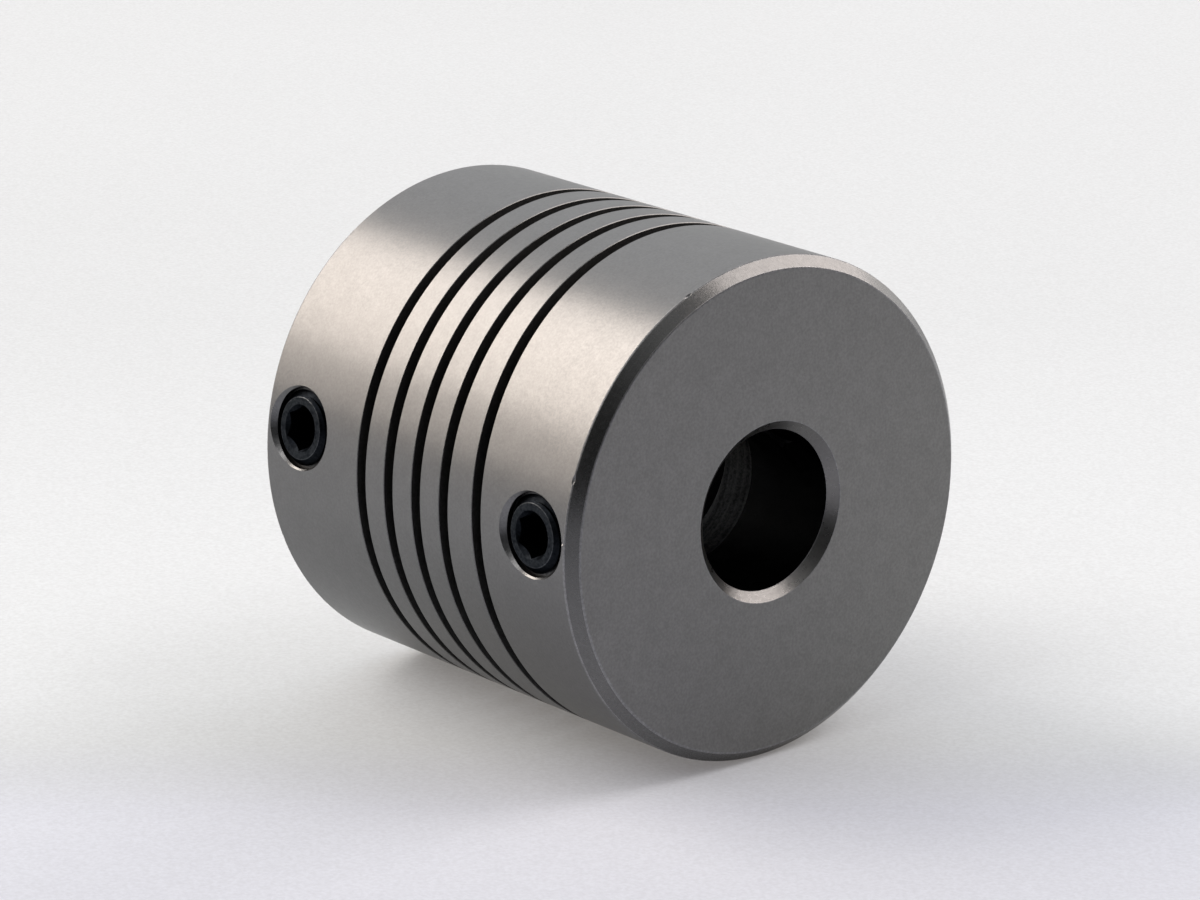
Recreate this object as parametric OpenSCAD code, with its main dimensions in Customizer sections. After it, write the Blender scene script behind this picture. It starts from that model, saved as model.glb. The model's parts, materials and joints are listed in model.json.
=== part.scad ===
// Helical beam coupling, turned from one bar, with set screws in both hubs.
// The shaft axis runs along X and the front face looks to +X.
// Angles round the axis are measured from straight up (+Z) towards -Y.

/* [Body] */
// Outside diameter of the coupling
body_d = 25; // [20:0.5:32]
// Overall length along the shaft axis
body_len = 24; // [20:0.5:36]
// Chamfer on the outer edge of both end faces
edge_chamfer = 0.55; // [0.2:0.05:1]

/* [Shaft bores] */
// Diameter of the reamed shaft bore in each hub
bore_d = 8; // [5:0.1:11]
// Depth of each reamed shaft bore
bore_depth = 5.85; // [4.5:0.05:7.5]
// Chamfer at the mouth of each shaft bore
bore_chamfer = 0.5; // [0.2:0.05:0.9]
// Radial depth of the relief between the two shaft bores
bore_relief = 0.3; // [0.1:0.05:0.6]

/* [Flexure slot] */
// Solid length of each hub, from its end face to the end of the slot
hub_len = 5.78; // [5:0.02:6.5]
// Width of the slot along the shaft axis
slot_w = 0.66; // [0.4:0.02:0.9]
// Turns of the slot at constant pitch
slot_turns = 4; // [3:1:5]
// Angle of the steeper run-out at each end of the slot
runout_angle = 140; // [90:5:160]
// Lead of the run-outs, as a multiple of the pitch
runout_lead = 2; // [1.2:0.05:2.6]
// Angle over which the pitch blends into the run-out
runout_blend = 70; // [20:5:90]
// Angle at which the middle of the slot lies
slot_angle = 24.3; // [-180:0.1:180]

/* [Set screws] */
// Nominal diameter of the set screws
screw_d = 4; // [3:0.5:5]
// Distance of the screw axes from the end face of their hub
screw_inset = 3; // [2.4:0.1:3.6]
// Angle between the two screws of one hub
screw_spread = 120; // [90:5:150]
// Angle by which the front hub's screws lead the rear hub's
hub_twist = 4.8; // [0:0.1:15]
// Depth of the screw's end below the outside of the body
screw_recess = 0.1; // [0:0.05:1]
// Distance from the screw's point to the wall of the shaft bore
point_gap = 0.4; // [0.05:0.05:1]
// Chamfer on the socket end of the screw
screw_chamfer = 0.48; // [0.2:0.02:0.6]
// Diameter of the cup point's rim
cup_d = 2; // [1:0.1:2.2]
// Width across flats of the hexagon socket
socket_af = 2; // [1.5:0.1:2.2]
// Angle by which each screw is turned in, from a socket corner that points along the shaft axis
socket_turn = 30; // [0:5:55]
// Depth of the hexagon socket
socket_depth = 2.5; // [1.5:0.1:3]
// Depth of the conical lead-in at the mouth of the socket
socket_lead = 0.12; // [0.05:0.01:0.2]
// Countersink at the mouth of each tapped hole
hole_countersink = 0.2; // [0.1:0.05:0.4]
// Radial clearance between a screw and its hole, both at thread diameter
thread_clearance = 0.03; // [0.02:0.01:0.08]

/* [Hidden] */

// Round faces are true circles, the slot's walls are stepped by this angle
$fn = 96;
slot_step = 6;
// Cutting tools stand out of the material by this much
overcut = 1;
// Slope of a cup point and of a drill point, from the axis
point_angle = 59;

body_r = body_d / 2;
half_len = body_len / 2;
bore_r = bore_d / 2;
relief_r = bore_r + bore_relief;
slot_r = bore_r - overcut;
screw_r = screw_d / 2;
hole_r = screw_r + thread_clearance;
socket_r = socket_af / 2 / cos(30);
screw_len = body_r - screw_recess - bore_r - point_gap;

// The slot's constant pitch follows from the length that the hubs leave
steady_angle = slot_turns * 180;
slot_half_angle = steady_angle + runout_angle;
slot_travel = body_len - 2 * hub_len - slot_w;
pitch = slot_travel / (slot_turns + runout_lead * runout_angle / 180);

body_colour = [0.50, 0.49, 0.48];
screw_colour = [0.07, 0.07, 0.08];

// Zero below the blend, the plain excess above it, and a parabola between
function blended(excess) =
    excess <= -runout_blend / 2 ? 0
    : excess >= runout_blend / 2 ? excess
    : pow(excess + runout_blend / 2, 2) / (2 * runout_blend);

// Axial place of the slot's middle at an angle from the slot's own middle
function slot_x(turn) =
    pitch / 360 * (turn + sign(turn) * (runout_lead - 1) * blended(abs(turn) - steady_angle));

// A point on the radius r at an angle round the axis
function polar(x, r, angle) = [x, -r * sin(angle), r * cos(angle)];

// Four corners of the slot's rectangular section, inner edge first
function slot_section(turn) =
    let (x = slot_x(turn), angle = slot_angle + turn)
    [
        polar(x - slot_w / 2, slot_r, angle),
        polar(x + slot_w / 2, slot_r, angle),
        polar(x + slot_w / 2, body_r + overcut, angle),
        polar(x - slot_w / 2, body_r + overcut, angle)
    ];

// Two triangles for each side of the sweep between one section and the next
function slot_sides(section) = [
    for (corner = [0 : 3])
        let (
            a = 4 * section + corner,
            b = 4 * section + (corner + 1) % 4
        )
        each [[a, b + 4, b], [a, a + 4, b + 4]]
];

// Moves a child from the origin, facing up, to the outside of the body
module at_wall(x, angle) {
    rotate([angle, 0, 0])
        translate([x, 0, body_r])
            children();
}

// Repeats the children at every tapped hole
module at_holes() {
    for (end = [-1, 1], side = [-1, 1])
        at_wall(hole_x(end), hole_angle(end, side)) children();
}

// end is 1 for the front hub and -1 for the rear one
function hole_x(end) = end * (half_len - screw_inset);

// side is 1 for the screw at the side of the coupling and -1 for the one on top
function hole_angle(end, side) = slot_angle + side * screw_spread / 2 + end * hub_twist / 2;

// Turned bar with chamfered ends, a reamed bore in each hub and the wider relief between them
module blank() {
    rotate([0, 90, 0])
        rotate_extrude()
            polygon([
                [relief_r, bore_depth - half_len],
                [bore_r, bore_depth - half_len],
                [bore_r, bore_chamfer - half_len],
                [bore_r + bore_chamfer, -half_len],
                [body_r - edge_chamfer, -half_len],
                [body_r, edge_chamfer - half_len],
                [body_r, half_len - edge_chamfer],
                [body_r - edge_chamfer, half_len],
                [bore_r + bore_chamfer, half_len],
                [bore_r, half_len - bore_chamfer],
                [bore_r, half_len - bore_depth],
                [relief_r, half_len - bore_depth]
            ]);
}

// The helical cut, with a full-radius end at each run-out
module flexure_slot() {
    steps = ceil(2 * slot_half_angle / slot_step);
    step = 2 * slot_half_angle / steps;
    last = 4 * steps;
    polyhedron(
        points = [for (i = [0 : steps]) each slot_section(i * step - slot_half_angle)],
        faces = concat(
            [[0, 1, 2], [0, 2, 3]],
            [for (i = [0 : steps - 1]) each slot_sides(i)],
            [[last + 2, last + 1, last], [last + 3, last + 2, last]]
        )
    );
    for (turn = [-slot_half_angle, slot_half_angle])
        at_wall(slot_x(turn), slot_angle + turn)
            translate([0, 0, slot_r - body_r])
                cylinder(d = slot_w, h = body_r - slot_r + overcut);
}

// Tapped hole at its thread diameter, from the shaft bore outwards, with its countersink
module tapped_hole() {
    translate([0, 0, -body_r])
        cylinder(r = hole_r, h = body_r + overcut);
    translate([0, 0, -hole_countersink])
        cylinder(r1 = hole_r, r2 = hole_r + hole_countersink + overcut, h = hole_countersink + overcut);
}

// Hexagon socket set screw with a cup point, its socket end at the origin
module set_screw() {
    point_taper = screw_r - cup_d / 2;
    cup_depth = cup_d / 2 / tan(point_angle);
    socket_cone = socket_af / 2 / tan(point_angle);
    difference() {
        rotate_extrude()
            polygon([
                [0, 0],
                [screw_r - screw_chamfer, 0],
                [screw_r, -screw_chamfer],
                [screw_r, point_taper - screw_len],
                [cup_d / 2, -screw_len],
                [0, cup_depth - screw_len]
            ]);
        translate([0, 0, -socket_depth])
            cylinder(r = socket_r, h = socket_depth + overcut, $fn = 6);
        translate([0, 0, -socket_depth - socket_cone])
            cylinder(r1 = 0, r2 = socket_af / 2, h = socket_cone);
        translate([0, 0, -socket_lead])
            cylinder(r1 = socket_af / 2, r2 = socket_r, h = socket_lead);
    }
}

// A set screw in the hole at that end and side
module seated_screw(end, side) {
    color(screw_colour)
        at_wall(hole_x(end), hole_angle(end, side))
            translate([0, 0, -screw_recess])
                rotate([0, 0, socket_turn])
                    set_screw();
}

module body() {
    color(body_colour)
        difference() {
            blank();
            flexure_slot();
            at_holes() tapped_hole();
        }
}

module front_side_screw() { seated_screw(1, 1); }
module front_top_screw() { seated_screw(1, -1); }
module rear_side_screw() { seated_screw(-1, 1); }
module rear_top_screw() { seated_screw(-1, -1); }

body();
front_side_screw();
front_top_screw();
rear_side_screw();
rear_top_screw();
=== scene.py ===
"""Dresses the helical beam coupling in satin turned steel with black threaded set screws."""
import json
import math

import bmesh
import bpy
from mathutils import Matrix, Vector


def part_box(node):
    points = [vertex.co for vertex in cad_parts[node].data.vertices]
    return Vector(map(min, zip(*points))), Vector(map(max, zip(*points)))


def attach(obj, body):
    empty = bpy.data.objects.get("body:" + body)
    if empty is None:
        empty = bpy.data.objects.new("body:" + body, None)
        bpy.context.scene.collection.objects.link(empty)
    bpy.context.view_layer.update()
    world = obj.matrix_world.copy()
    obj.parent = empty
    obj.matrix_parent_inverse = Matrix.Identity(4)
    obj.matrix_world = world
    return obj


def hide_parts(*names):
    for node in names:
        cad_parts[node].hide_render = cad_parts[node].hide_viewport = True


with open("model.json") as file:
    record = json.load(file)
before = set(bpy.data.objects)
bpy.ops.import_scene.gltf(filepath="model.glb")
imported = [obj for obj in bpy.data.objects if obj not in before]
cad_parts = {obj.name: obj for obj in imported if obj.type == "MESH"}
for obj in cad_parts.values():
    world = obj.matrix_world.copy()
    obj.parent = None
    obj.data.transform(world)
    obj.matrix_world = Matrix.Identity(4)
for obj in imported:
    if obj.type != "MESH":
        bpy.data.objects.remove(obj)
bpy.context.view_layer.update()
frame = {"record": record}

# Sizes are in millimetres and degrees; the frame gives those that it knows
MM = 0.001
BODY_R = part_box("body")[1].y / MM
HALF_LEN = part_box("body")[1].x / MM
EDGE_CHAMFER = 0.55

# Shaft bores, with the width and the depth of the chamfer at their mouths
BORE_R = frame["record"]["mounts"][0]["dims"]["r_mm"]
BORE_DEPTH = 5.85
BORE_RELIEF = 0.3
BORE_CHAMFER = 0.5
BORE_CHAMFER_DEPTH = 0.44

# Flexure slot
HUB_LEN = 5.78
SLOT_W = 0.66
SLOT_TURNS = 4
SLOT_ANGLE = 24.3
RUNOUT_ANGLE = 140
RUNOUT_LEAD = 2
RUNOUT_BLEND = 70

# Set screws
SCREW_R = 1.97
SCREW_INSET = 3
SCREW_SPREAD = 120
HUB_TWIST = 4.8
SCREW_RECESS = 0.1
SCREW_LEN = 8
SCREW_CHAMFER = 0.42
CUP_R = 1
POINT_ANGLE = 59
SOCKET_AF = 2
SOCKET_TURN = 30
SOCKET_DEPTH = 2.5
SOCKET_MOUTH_R = 1.19

# Tapped holes; below its countersink a hole is plain for the length of its mouth, then threaded
HOLE_R = 2.03
HOLE_COUNTERSINK = 0.26
HOLE_MOUTH = 0.3

# M4 thread, with the ends of its root, rising flank and crest as shares of the pitch
THREAD_PITCH = 0.7
THREAD_DEPTH = 0.38
THREAD_GAP = 0.04
ROOT_END, FLANK_END, CREST_END = 0.25, 0.5625, 0.6875

# Broken edges that only the finish shows
EDGE_ROUND = 0.15
BORE_ROUND = 0.05
SLOT_BREAK = 0.03
SCREW_ROUND = 0.06

# Nicks on the outer edges, as (place along the axis, angle, half length along it, half length round it)
NICKS = (
    (11.45, 71.8, 0.12, 0.3),
    (11.2, 86, 0.28, 0.13),
    (11.45, 23, 0.1, 0.3),
    (-11.45, 350, 0.1, 0.2),
    (-11.45, 112, 0.12, 0.25),
    (-11.42, 230, 0.16, 0.3),
)
# Half height of a nick's cutter, and how far its middle lies outside the wall
NICK_HEIGHT = 0.2
NICK_LIFT = 0.1

# Cutting tools stand out of the material by this much
OVERCUT = 1
SLOT_R = BORE_R - OVERCUT
STEADY_ANGLE = 180 * SLOT_TURNS
SLOT_HALF_ANGLE = STEADY_ANGLE + RUNOUT_ANGLE
SLOT_TRAVEL = 2 * (HALF_LEN - HUB_LEN) - SLOT_W
PITCH = SLOT_TRAVEL / (SLOT_TURNS + RUNOUT_LEAD * RUNOUT_ANGLE / 180)
SOCKET_R = SOCKET_AF / 2 / math.cos(math.radians(30))

# Segments of a full turn, the slot's step and the angle above which an edge is sharp
BODY_SEGMENTS = 288
SCREW_SEGMENTS = 96
HOLE_SEGMENTS = 64
THREAD_SEGMENTS = 48
NICK_SEGMENTS = 20
SLOT_STEP = 2
SHARP_ANGLE = 30

# Material slots of the body, in the order of STEEL, and those whose faces are turned
WALL, FACE, CHAMFER, EDGE, BORE, RELIEF, SLOT, THREAD, SINK, MOUTH = range(10)
TURNED = (WALL, FACE, CHAMFER, BORE, RELIEF, MOUTH)
# Material slots of a screw, in the order of BLACK
OXIDE, WEAR_AND_GLINT, PAINTED_SHADE = range(3)

# Patches of colour and gloss on every metal, in millimetres
MOTTLE_SIZE = 0.9
SPECKLE_SIZE = 0.13
GLOSS_SIZE = 0.3
# Weight of the mottle against the speckle, and where their sum is all dark and all light
MOTTLE_SHARE = 0.35
DARK_AT, LIGHT_AT = 0.475, 0.875
# How far steel, rough cuts and black oxide brighten at a grazing look
STEEL_RIM, CUT_RIM, BLACK_RIM = 0.8, 0.5, 0.45


def node(tree, kind, inputs=None, **settings):
    """Adds a shader node; an input that is a socket is linked, any other is set."""
    made = tree.nodes.new("ShaderNode" + kind)
    for key, value in settings.items():
        setattr(made, key, value)
    for key, value in (inputs or {}).items():
        if isinstance(value, bpy.types.NodeSocket):
            tree.links.new(value, made.inputs[key])
        else:
            made.inputs[key].default_value = value
    return made


def new_material(name):
    """A new material, its node tree, and the place on the object in millimetres."""
    made = bpy.data.materials.new(name)
    made.use_nodes = True
    tree = made.node_tree
    tree.nodes.clear()
    place = node(tree, "TexCoord").outputs["Object"]
    place = node(tree, "VectorMath", {0: place, "Scale": 1 / MM}, operation="SCALE").outputs["Vector"]
    return made, tree, place


def calculated(tree, operation, *values):
    """Result of a Math node on values or sockets."""
    return node(tree, "Math", dict(enumerate(values)), operation=operation).outputs["Value"]


def projected(tree, place, direction):
    """How far a place lies along a direction."""
    return node(tree, "VectorMath", {0: place, 1: direction}, operation="DOT_PRODUCT").outputs["Value"]


def noise(tree, place, size, detail=2.0, dimensions="3D", socket="Vector"):
    """Noise from 0 to 1 with features of about that size in millimetres."""
    made = node(tree, "TexNoise", {"Scale": 1 / size, "Detail": detail}, noise_dimensions=dimensions)
    tree.links.new(place, made.inputs[socket])
    return made.outputs["Fac"]


def ranged(tree, value, low, high, start=0.3, stop=0.7):
    """Spreads a value from start to stop over low to high."""
    made = node(tree, "MapRange", {
        "Value": value, "From Min": start, "From Max": stop, "To Min": low, "To Max": high,
    })
    return made.outputs["Result"]


def blend(tree, factor, first, second):
    """Mixes two colours, or sockets of colour; 6, 7 and 2 are the node's colour sockets."""
    made = node(tree, "Mix", {"Factor": factor}, data_type="RGBA")
    for key, value in ((6, first), (7, second)):
        if isinstance(value, bpy.types.NodeSocket):
            tree.links.new(value, made.inputs[key])
        else:
            made.inputs[key].default_value = (*value, 1)
    return made.outputs[2]


def graded(tree, value, stops, tint):
    """A tint that follows a value through stops of (value, level)."""
    low, high = stops[0][0], stops[-1][0]
    scaled = node(tree, "MapRange", {"Value": value, "From Min": low, "From Max": high})
    made = node(tree, "ValToRGB", {"Fac": scaled.outputs["Result"]})
    elements = made.color_ramp.elements
    for index, (place, level) in enumerate(stops):
        position = (place - low) / (high - low)
        element = elements[index] if index < 2 else elements.new(position)
        element.position = position
        element.color = (*(level * part for part in tint), 1)
    return made.outputs["Color"]


def turned_metal(name, dark, light, gloss, grain, marks, across="length", rim=STEEL_RIM, rings=0):
    """Machined metal: speckled colour, uneven gloss, fine grain and tool marks.

    gloss is the range of roughness, grain and marks are (size, height) in millimetres and micrometres,
    across says whether the tool marks follow the length or the radius, rim is how far the metal
    brightens at a grazing look, and rings how much the tool marks show in its colour.
    """
    made, tree, place = new_material(name)
    mottle = noise(tree, place, MOTTLE_SIZE, detail=3)
    speckle = noise(tree, place, SPECKLE_SIZE, detail=3)
    spread = calculated(tree, "MULTIPLY_ADD", mottle, MOTTLE_SHARE, speckle)
    uneven = noise(tree, place, GLOSS_SIZE, detail=3)
    axes = node(tree, "SeparateXYZ", {0: place}).outputs
    if across == "radius":
        ring = node(tree, "CombineXYZ", {1: axes["Y"], 2: axes["Z"]}).outputs["Vector"]
        track = node(tree, "VectorMath", {0: ring}, operation="LENGTH").outputs["Value"]
    else:
        track = axes["X"]
    lines = noise(tree, track, marks[0], detail=3, dimensions="1D", socket="W")
    if rings:
        spread = calculated(tree, "MULTIPLY_ADD", lines, rings, spread)
    lightness = ranged(tree, spread, 0, 1, DARK_AT + rings / 2, LIGHT_AT + rings / 2)
    grit = noise(tree, place, grain[0], detail=2)
    bump = node(tree, "Bump", {"Strength": 1, "Distance": marks[1] * 1e-6, "Height": lines})
    bump = node(tree, "Bump", {
        "Strength": 1, "Distance": grain[1] * 1e-6, "Height": grit, "Normal": bump.outputs["Normal"],
    })
    shader = node(tree, "BsdfPrincipled", {
        "Base Color": blend(tree, lightness, dark, light),
        "Metallic": 1,
        "Specular Tint": (rim, rim, rim, 1),
        "Roughness": ranged(tree, uneven, *gloss),
        "Normal": bump.outputs["Normal"],
    })
    node(tree, "OutputMaterial", {"Surface": shader.outputs["BSDF"]})
    return made


STEEL = [
    turned_metal("satin_wall", (0.149, 0.149, 0.151), (0.177, 0.177, 0.179),
                 gloss=(0.3, 0.34), grain=(0.08, 3), marks=(0.09, 2)),
    turned_metal("turned_face", (0.184, 0.183, 0.179), (0.23, 0.229, 0.224),
                 gloss=(0.43, 0.47), grain=(0.1, 8), marks=(0.1, 4), across="radius"),
    turned_metal("turned_chamfer", (0.123, 0.123, 0.122), (0.141, 0.141, 0.14),
                 gloss=(0.24, 0.3), grain=(0.08, 3), marks=(0.05, 2)),
    # Rounded edges and nicks: lighter than the wall steel, partly real wear and partly a painted highlight
    # along the edges
    turned_metal("worn_edge", (0.19, 0.19, 0.194), (0.28, 0.28, 0.285),
                 gloss=(0.36, 0.48), grain=(0.1, 4), marks=(0.1, 2)),
    turned_metal("reamed_bore", (0.075, 0.076, 0.078), (0.095, 0.096, 0.098),
                 gloss=(0.16, 0.24), grain=(0.2, 2), marks=(0.12, 2)),
    turned_metal("bored_relief", (0.06, 0.061, 0.063), (0.19, 0.191, 0.194),
                 gloss=(0.36, 0.46), grain=(0.2, 8), marks=(0.5, 22), rings=1.2),
    turned_metal("sawn_slot", (0.08, 0.079, 0.078), (0.11, 0.108, 0.107),
                 gloss=(0.5, 0.6), grain=(0.15, 8), marks=(0.05, 4), across="radius", rim=CUT_RIM),
    turned_metal("cut_thread", (0.06, 0.06, 0.061), (0.09, 0.09, 0.091),
                 gloss=(0.3, 0.45), grain=(0.15, 6), marks=(0.1, 4), across="radius", rim=CUT_RIM),
    turned_metal("countersink", (0.14, 0.141, 0.144), (0.18, 0.181, 0.184),
                 gloss=(0.26, 0.34), grain=(0.1, 4), marks=(0.1, 2)),
    # The bore's mouth chamfer: a lighter, warmer copy of the chamfer steel, which brightens the lamp's
    # highlight there as a painted highlight
    turned_metal("bore_chamfer", (0.158, 0.156, 0.153), (0.178, 0.176, 0.173),
                 gloss=(0.26, 0.32), grain=(0.08, 3), marks=(0.05, 2)),
]
BLACK = [
    turned_metal("black_oxide", (0.01, 0.012, 0.015), (0.034, 0.038, 0.043),
                 gloss=(0.34, 0.46), grain=(0.12, 8), marks=(0.1, 3), across="radius", rim=BLACK_RIM),
    # Rounded rim of a screw's top: lighter than the oxide, partly real wear and partly a painted highlight
    turned_metal("worn_oxide", (0.03, 0.033, 0.037), (0.075, 0.08, 0.087),
                 gloss=(0.25, 0.36), grain=(0.12, 5), marks=(0.1, 3), across="radius", rim=BLACK_RIM),
    # A darker copy of the black oxide in the socket, its mouth and the screw's sides inside the hole: painted
    # shade
    turned_metal("deep_oxide", (0.005, 0.006, 0.008), (0.012, 0.014, 0.017),
                 gloss=(0.34, 0.46), grain=(0.12, 8), marks=(0.1, 3), across="radius", rim=BLACK_RIM),
]


def polar(x, r, angle):
    """A point on the radius r, at an angle from straight up towards -Y."""
    turn = math.radians(angle)
    return Vector((x, -r * math.sin(turn), r * math.cos(turn)))


def slot_x(turn):
    """Axial place of the slot's middle at an angle from the middle of the slot."""
    excess = abs(turn) - STEADY_ANGLE
    half = RUNOUT_BLEND / 2
    if excess <= -half:
        extra = 0
    elif excess >= half:
        extra = excess
    else:
        extra = (excess + half) ** 2 / (2 * RUNOUT_BLEND)
    return PITCH / 360 * (turn + math.copysign((RUNOUT_LEAD - 1) * extra, turn))


def wall_frame(x, angle):
    """Matrix that takes +Z to the direction out of the wall, with the origin on the shaft axis."""
    return Matrix.Translation((x, 0, 0)) @ Matrix.Rotation(math.radians(angle), 4, "X")


def new_object(name, verts, faces, finishes, material_index):
    """A mesh object whose faces point outwards; sizes stay in millimetres until it is finished."""
    mesh = bpy.data.meshes.new(name)
    for finish in finishes:
        mesh.materials.append(finish)
    mesh.from_pydata([tuple(v) for v in verts], [], faces)
    form = bmesh.new()
    form.from_mesh(mesh)
    bmesh.ops.recalc_face_normals(form, faces=form.faces)
    form.to_mesh(mesh)
    form.free()
    indices = material_index if isinstance(material_index, list) else [material_index] * len(faces)
    mesh.polygons.foreach_set("material_index", indices)
    piece = bpy.data.objects.new(name, mesh)
    bpy.context.scene.collection.objects.link(piece)
    return piece


def rounded(corners, edge, steps=5):
    """Outline from corners of (radius, height, round, material of the line that follows).

    A round of 0 keeps the corner sharp; the others take the edge's material.
    """
    points = []
    count = len(corners)
    for i, (r, h, fillet, material) in enumerate(corners):
        here = Vector((r, h))
        if not fillet:
            points.append((r, h, material))
            continue
        before = (Vector(corners[i - 1][:2]) - here).normalized()
        after = (Vector(corners[(i + 1) % count][:2]) - here).normalized()
        half = before.angle(after) / 2
        reach = fillet / math.tan(half)
        centre = here + (before + after).normalized() * (fillet / math.sin(half))
        start = here + before * reach - centre
        end = here + after * reach - centre
        for step in range(steps + 1):
            spoke = start.lerp(end, step / steps).normalized() * fillet
            points.append((*(centre + spoke), edge if step < steps else material))
    return points


def revolve(name, outline, segments, finishes):
    """Turns a closed outline of (radius, height, material) about Z; a point on the axis is a pole."""
    verts = []
    rows = []
    for r, h, _ in outline:
        angles = [0] if r == 0 else [2 * math.pi * k / segments for k in range(segments)]
        rows.append(range(len(verts), len(verts) + len(angles)))
        verts += [(r * math.cos(a), r * math.sin(a), h) for a in angles]
    faces = []
    materials = []
    for i, low in enumerate(rows):
        high = rows[(i + 1) % len(rows)]
        if len(low) == len(high) == 1:
            continue
        for k in range(segments):
            after = (k + 1) % segments
            ring = [low[k % len(low)], low[after % len(low)], high[after % len(high)], high[k % len(high)]]
            faces.append(list(dict.fromkeys(ring)))
            materials.append(outline[i][2])
    return new_object(name, verts, faces, finishes, materials)


def sweep(name, sections, finishes, materials):
    """Joins equal sections of points into a closed solid; each side of the section has its material."""
    size = len(sections[0])
    verts = [point for section in sections for point in section]
    faces = [list(range(size)), list(range(len(verts) - size, len(verts)))]
    for i in range(len(sections) - 1):
        for k in range(size):
            here = size * i + k
            side = size * i + (k + 1) % size
            faces.append([here, side, side + size, here + size])
    return new_object(name, verts, faces, finishes, materials[:1] * 2 + materials * (len(sections) - 1))


def threaded_rod(name, crest_r, low, high, finishes, material):
    """A rod with a metric thread along Z; its ends are rough and lie outside what it cuts."""
    root_r = crest_r - THREAD_DEPTH
    profile = [(0, root_r), (ROOT_END, root_r), (FLANK_END, crest_r), (CREST_END, crest_r)]
    segments = THREAD_SEGMENTS
    turns = math.ceil((high - low) / THREAD_PITCH) + 1
    rows = [(low + THREAD_PITCH * (turn + u), r) for turn in range(turns) for u, r in profile]
    verts = []
    for h, r in rows:
        for k in range(segments):
            angle = 2 * math.pi * k / segments
            verts.append((r * math.cos(angle), r * math.sin(angle), h + THREAD_PITCH * k / segments))
    shift = len(profile)

    def at(row, k):
        """Vertex of a row; past a full turn the row has climbed by one pitch."""
        return (row + shift * (k // segments)) * segments + k % segments

    faces = []
    for row in range(len(rows) - 1):
        # The last rows have no row a pitch above them to close their turn
        closes = row < len(rows) - 1 - shift
        for k in range(segments if closes else segments - 1):
            faces.append([at(row, k), at(row, k + 1), at(row + 1, k + 1), at(row + 1, k)])
    rod = new_object(name, verts, faces, finishes, material)
    form = bmesh.new()
    form.from_mesh(rod.data)
    bmesh.ops.holes_fill(form, edges=[edge for edge in form.edges if edge.is_boundary])
    bmesh.ops.triangulate(form, faces=[face for face in form.faces if len(face.verts) > 4])
    bmesh.ops.recalc_face_normals(form, faces=form.faces)
    for face in form.faces:
        face.material_index = material
    form.to_mesh(rod.data)
    form.free()
    return rod


def combine(target, tool, operation="DIFFERENCE"):
    """Cuts the target with the tool, or keeps what they share, and removes the tool."""
    change = target.modifiers.new(operation.lower(), "BOOLEAN")
    change.operation = operation
    change.solver = "MANIFOLD"
    change.material_mode = "INDEX"
    change.object = tool
    evaluated = target.evaluated_get(bpy.context.evaluated_depsgraph_get())
    mesh = bpy.data.meshes.new_from_object(evaluated)
    target.modifiers.clear()
    target.data = mesh
    bpy.data.objects.remove(tool)


def moved(piece, matrix):
    """Moves the mesh itself, so that the object stays at the origin."""
    piece.data.transform(matrix)
    return piece


def screw_places():
    """Node name, axial place and angle of each set screw."""
    for end, end_name in ((1, "front"), (-1, "rear")):
        for side, side_name in ((1, "side"), (-1, "top")):
            angle = SLOT_ANGLE + side * SCREW_SPREAD / 2 + end * HUB_TWIST / 2
            yield f"{end_name}_{side_name}_screw", end * (HALF_LEN - SCREW_INSET), angle


def blank():
    """The turned bar with broken edges, about X."""
    rear = [
        (BORE_R + BORE_RELIEF, BORE_DEPTH - HALF_LEN, 0, FACE),
        (BORE_R, BORE_DEPTH - HALF_LEN, 0, BORE),
        (BORE_R, BORE_CHAMFER_DEPTH - HALF_LEN, BORE_ROUND, MOUTH),
        (BORE_R + BORE_CHAMFER, -HALF_LEN, BORE_ROUND, FACE),
        (BODY_R - EDGE_CHAMFER, -HALF_LEN, EDGE_ROUND, CHAMFER),
        (BODY_R, EDGE_CHAMFER - HALF_LEN, EDGE_ROUND, WALL),
    ]
    before = [RELIEF] + [material for *_, material in rear]
    front = [(r, -h, fillet, material) for (r, h, fillet, _), material in zip(rear, before)]
    bar = revolve("coupling_body", rounded(rear + front[::-1], EDGE), BODY_SEGMENTS, STEEL)
    return moved(bar, Matrix.Rotation(math.radians(90), 4, "Y"))


def nick_cutter(x, angle, length, breadth):
    """A shallow dent on the outer edge, from a stretched ball that dips into the wall."""
    half = NICK_SEGMENTS // 2
    turns = [math.pi * k / half for k in range(1, half)]
    outline = [(0, -1, EDGE), *((math.sin(turn), -math.cos(turn), EDGE) for turn in turns), (0, 1, EDGE)]
    ball = revolve("nick", outline, NICK_SEGMENTS, STEEL)
    moved(ball, Matrix.Diagonal((length, breadth, NICK_HEIGHT, 1)))
    return moved(ball, wall_frame(x, angle) @ Matrix.Translation((0, 0, BODY_R + NICK_LIFT)))


def slot_cutter():
    """The helical cut, flared at the outside so that its edges are broken."""
    flare = SLOT_BREAK + OVERCUT
    outline = [
        (-SLOT_W / 2, SLOT_R),
        (SLOT_W / 2, SLOT_R),
        (SLOT_W / 2, BODY_R - SLOT_BREAK),
        (SLOT_W / 2 + flare, BODY_R + OVERCUT),
        (-SLOT_W / 2 - flare, BODY_R + OVERCUT),
        (-SLOT_W / 2, BODY_R - SLOT_BREAK),
    ]
    steps = 2 * SLOT_HALF_ANGLE // SLOT_STEP
    sections = []
    for step in range(steps + 1):
        turn = 2 * SLOT_HALF_ANGLE * step / steps - SLOT_HALF_ANGLE
        sections.append([polar(slot_x(turn) + x, r, SLOT_ANGLE + turn) for x, r in outline])
    return sweep("slot", sections, STEEL, [SLOT, SLOT, CHAMFER, CHAMFER, CHAMFER, SLOT])


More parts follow.
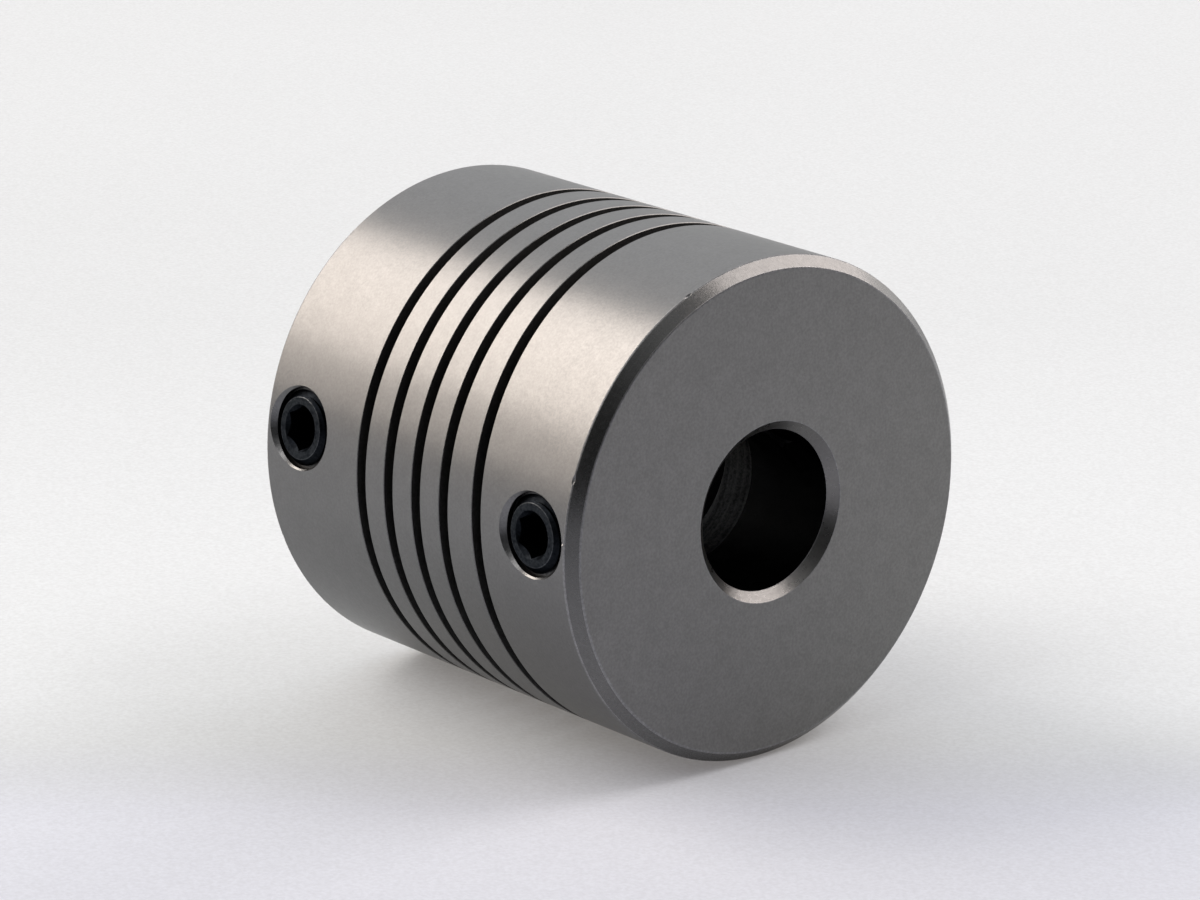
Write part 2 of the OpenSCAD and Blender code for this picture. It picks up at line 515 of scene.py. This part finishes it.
def hole_cutter(radius, bottom, edge, material):
    """A round hole out of the wall along Z, flared by edge at the outside."""
    outline = [
        (0, bottom, material),
        (radius, bottom, material),
        (radius, BODY_R - edge, SINK),
        (radius + edge + OVERCUT, BODY_R + OVERCUT, material),
        (0, BODY_R + OVERCUT, material),
    ]
    return revolve("hole", outline, HOLE_SEGMENTS, STEEL)


def smooth_by_angle(piece):
    """Smooth shading with sharp edges where faces meet at a large angle."""
    piece.data.shade_smooth()
    piece.data.set_sharp_from_angle(angle=math.radians(SHARP_ANGLE))


def true_normals(piece):
    """Shades the turned faces as true cylinders, cones and planes."""
    mesh = piece.data
    smooth_by_angle(piece)
    normals = [Vector(corner.vector) for corner in mesh.corner_normals]
    for polygon in mesh.polygons:
        if polygon.material_index not in TURNED:
            continue
        lengthwise = polygon.normal.x
        outwards = polygon.normal.dot(Vector((0, polygon.center.y, polygon.center.z)).normalized())
        for loop in polygon.loop_indices:
            point = mesh.vertices[mesh.loops[loop].vertex_index].co
            outward = Vector((0, point.y, point.z)).normalized()
            normals[loop] = (outward * outwards + Vector((lengthwise, 0, 0))).normalized()
    mesh.normals_split_custom_set(normals)


def make_body():
    """The whole body with its slot, tapped holes and nicks."""
    body = blank()
    combine(body, slot_cutter())
    for turn in (-SLOT_HALF_ANGLE, SLOT_HALF_ANGLE):
        end = hole_cutter(SLOT_W / 2, SLOT_R, SLOT_BREAK, SLOT)
        combine(body, moved(end, wall_frame(slot_x(turn), SLOT_ANGLE + turn)))
    for _, x, angle in screw_places():
        thread = threaded_rod("thread", SCREW_R + THREAD_GAP, 0, BODY_R + OVERCUT, STEEL, THREAD)
        combine(body, moved(thread, wall_frame(x, angle)))
        mouth = hole_cutter(HOLE_R, BODY_R - HOLE_COUNTERSINK - HOLE_MOUTH, HOLE_COUNTERSINK, THREAD)
        combine(body, moved(mouth, wall_frame(x, angle)))
    for nick in NICKS:
        combine(body, nick_cutter(*nick))
    true_normals(moved(body, Matrix.Scale(MM, 4)))
    return body


def make_screw(name, x, angle):
    """A threaded set screw with a hexagon socket and a cup point."""
    top = BODY_R - SCREW_RECESS
    point = top - SCREW_LEN
    cup_depth = CUP_R / math.tan(math.radians(POINT_ANGLE))
    envelope = revolve(name + "_form", rounded([
        (0, point + cup_depth, 0, OXIDE),
        (CUP_R, point, 0, OXIDE),
        (SCREW_R, point + SCREW_R - CUP_R, 0, PAINTED_SHADE),
        (SCREW_R, top - SCREW_CHAMFER, 0, PAINTED_SHADE),
        (SCREW_R - SCREW_CHAMFER, top, SCREW_ROUND, OXIDE),
        (0, top, 0, OXIDE),
    ], WEAR_AND_GLINT), SCREW_SEGMENTS, BLACK)
    screw = threaded_rod(name + "_threaded", SCREW_R, 0, BODY_R + OVERCUT, BLACK, PAINTED_SHADE)
    combine(screw, envelope, "INTERSECT")
    socket = revolve("socket", [
        (0, top - SOCKET_DEPTH, PAINTED_SHADE),
        (SOCKET_R, top - SOCKET_DEPTH, PAINTED_SHADE),
        (SOCKET_R, top + OVERCUT, PAINTED_SHADE),
        (0, top + OVERCUT, PAINTED_SHADE),
    ], 6, BLACK)
    combine(screw, moved(socket, Matrix.Rotation(math.radians(SOCKET_TURN), 4, "Z")))
    mouth = revolve("mouth", [
        (0, top - SOCKET_MOUTH_R, PAINTED_SHADE),
        (SOCKET_MOUTH_R + OVERCUT, top + OVERCUT, PAINTED_SHADE),
        (0, top + OVERCUT, PAINTED_SHADE),
    ], HOLE_SEGMENTS, BLACK)
    combine(screw, mouth)
    smooth_by_angle(screw)
    return moved(screw, Matrix.Scale(MM, 4) @ wall_frame(x, angle))


body = make_body()
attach(body, "root")
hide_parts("body")
for screw_node, axial, turn in screw_places():
    screw = make_screw(screw_node, axial, turn)
    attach(screw, "root")
    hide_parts(screw_node)


# Direction on the floor that leads to the camera
TOWARD_CAMERA = (0.762, -0.647, 0)
# Grey of the floor, as (millimetres towards the camera, level); it is painted shade: darker far behind to
# even out the lamps, darker from just in front of the coupling where its shadow lies, and darkest towards the
# camera where the light falls off
FLOOR_SHADE_STOPS = (
    (-160, 0.68), (-70, 0.68), (-15, 0.73), (0, 0.76), (11, 0.675), (18, 0.71), (24, 0.685), (65, 0.44),
)
# Where the floor turns from its warm tint to its cool one, in millimetres towards the camera
FLOOR_COOLS = (7, 16)
# Warm and cool tints of the lit floor and of its glow; the glow's warm tint under the coupling paints the
# warm light that the steel throws into its shadow
LIT_TINTS = ((1, 1.07, 1.139), (1.01, 1.07, 1.196))
GLOW_TINTS = ((1.07, 1, 0.945), (1.06, 1, 1.06))
# Share of the floor that glows with its own grey in camera and reflected rays, whatever light falls on it:
# painted light that lifts the coupling's shadow
FLOOR_GLOW = 0.225
# Clouds and paper fibres on the floor, as (size in millimetres, share of the grey that they take)
CLOUDS = (60, 0.03)
FIBRES = (0.2, 0.13)
FLOOR_REACH = 3000

# Direction of the backdrop's middle, and the light of the room as (cosine from there, level)
BACKDROP = (-0.743, 0.35, 0.57)
ROOM_STOPS = (
    (-1, 0.08), (-0.7, 0.08), (-0.485, 0.05), (-0.22, 0.15), (0.04, 0.56), (0.2, 0.38), (0.5, 0.34),
    (0.7, 0.56), (0.85, 0.98), (0.926, 1.1), (0.975, 1.34), (1, 1.38),
)
ROOM_TINT = (0.99, 0.995, 1)

# Lamps, as (name, direction, direction of the height, metres away, width, height, radiance, colour)
LEFT_COLOUR = (1, 0.885, 0.775)
LAMPS = (
    ("left_softbox", (-0.69, -0.36, 0.628), (0, 0.874, 0.486), 1, 0.5, 0.7, 6, LEFT_COLOUR),
    ("left_skirt", (-0.74, -0.635, 0.225), (0.221, 0.188, 0.957), 1, 0.5, 0.34, 2.3, LEFT_COLOUR),
    ("back_softbox", (0.225, 0.742, 0.632), (0.466, -0.61, 0.513), 0.7, 0.266, 0.84, 4.5, (1, 0.91, 0.87)),
    ("back_skirt", (-0.203, 0.97, 0.132), (0.027, -0.129, 0.991), 0.8, 0.3, 0.24, 1.5, (1, 0.97, 0.95)),
    ("front_softbox", (-0.05, -0.645, 0.764), (0, 0.764, 0.645), 1, 0.35, 0.6, 2.2, (1, 0.97, 0.94)),
)

# Middle of the coupling as the camera sees it, in body radii to the right, up and ahead
MIDDLE_RIGHT, MIDDLE_UP, MIDDLE_AHEAD = 0.0342, -0.0226, 20.3718


def seen_ray(tree):
    """1 for the rays that show a surface, directly, in a reflection or through glass, else 0."""
    path = node(tree, "LightPath").outputs
    shown = calculated(tree, "MAXIMUM", path["Is Camera Ray"], path["Is Glossy Ray"])
    return calculated(tree, "MAXIMUM", shown, path["Is Transmission Ray"])


def floor_grey_and_shade(tree, toward, tints):
    """The floor's grey with its painted shade, in its warm tint under the coupling and its cool one in front.
    """
    warm, cool = (graded(tree, toward, FLOOR_SHADE_STOPS, tint) for tint in tints)
    return blend(tree, ranged(tree, toward, 0, 1, *FLOOR_COOLS), warm, cool)


def make_floor():
    """A wide pale floor under the coupling, with painted shade and a glow of painted light that lifts its
    shadow.
    """
    made, tree, place = new_material("pale_floor")
    toward = projected(tree, place, TOWARD_CAMERA)
    colour = floor_grey_and_shade(tree, toward, LIT_TINTS)
    for (size, shade), detail in ((CLOUDS, 2), (FIBRES, 3)):
        patches = noise(tree, place, size, detail)
        colour = blend(tree, ranged(tree, patches, 0, shade), colour, (0, 0, 0))
    shader = node(tree, "BsdfPrincipled", {"Base Color": colour, "Roughness": 0.7, "Specular IOR Level": 0.2})
    # Painted light: the floor's grey glows on its own and lightens the coupling's shadow
    glow = node(tree, "Emission", {"Color": floor_grey_and_shade(tree, toward, GLOW_TINTS), "Strength": 1})
    share = calculated(tree, "MULTIPLY", seen_ray(tree), FLOOR_GLOW)
    shown = node(tree, "MixShader", {0: share, 1: shader.outputs["BSDF"], 2: glow.outputs["Emission"]})
    node(tree, "OutputMaterial", {"Surface": shown.outputs["Shader"]})
    corners = [
        (x * FLOOR_REACH, y * FLOOR_REACH, -BODY_R) for x, y in ((-1, -1), (1, -1), (1, 1), (-1, 1))
    ]
    floor = new_object("floor", corners, [[0, 1, 2, 3]], [made], 0)
    moved(floor, Matrix.Scale(MM, 4))


def softbox(name, direction, along, distance, width, height, radiance, colour):
    """A lamp that faces the coupling from a direction, with its height along another."""
    lamp = bpy.data.lights.new(name, "AREA")
    lamp.shape = "RECTANGLE"
    lamp.size = width
    lamp.size_y = height
    lamp.energy = radiance * math.pi * width * height
    lamp.color = colour
    holder = bpy.data.objects.new(name, lamp)
    toward = Vector(direction).normalized()
    side = Vector(along).cross(toward).normalized()
    turn = Matrix((side, toward.cross(side), toward)).transposed().to_4x4()
    holder.matrix_world = Matrix.Translation(toward * distance) @ turn
    holder.visible_camera = False
    bpy.context.scene.collection.objects.link(holder)


def make_world():
    """A white backdrop behind the coupling that dims towards the room in front."""
    world = bpy.data.worlds.new("studio")
    world.use_nodes = True
    tree = world.node_tree
    tree.nodes.clear()
    aim = node(tree, "TexCoord").outputs["Generated"]
    room = graded(tree, projected(tree, aim, BACKDROP), ROOM_STOPS, ROOM_TINT)
    sky = node(tree, "Background", {"Color": room, "Strength": 1})
    node(tree, "OutputWorld", {"Surface": sky.outputs["Background"]})
    bpy.context.scene.world = world


def make_camera():
    """The photograph's camera: 254.65 mm away, with a long lens and no shift."""
    right = Vector((0.6472, 0.7623, 0))
    up = Vector((-0.2253, 0.1913, 0.9553))
    ahead = Vector((-0.7283, 0.6183, -0.2956))
    place = -BODY_R * MM * (MIDDLE_RIGHT * right + MIDDLE_UP * up + MIDDLE_AHEAD * ahead)
    lens = bpy.data.cameras.new("camera")
    lens.sensor_width = 36
    lens.lens = 154.25
    lens.clip_start = 0.01
    camera = bpy.data.objects.new("camera", lens)
    turn = Matrix((right, up, -ahead)).transposed().to_4x4()
    camera.matrix_world = Matrix.Translation(place) @ turn
    bpy.context.scene.collection.objects.link(camera)
    bpy.context.scene.camera = camera


make_floor()
make_world()
for lamp in LAMPS:
    softbox(*lamp)
make_camera()
bpy.context.scene.view_settings.view_transform = "Standard"
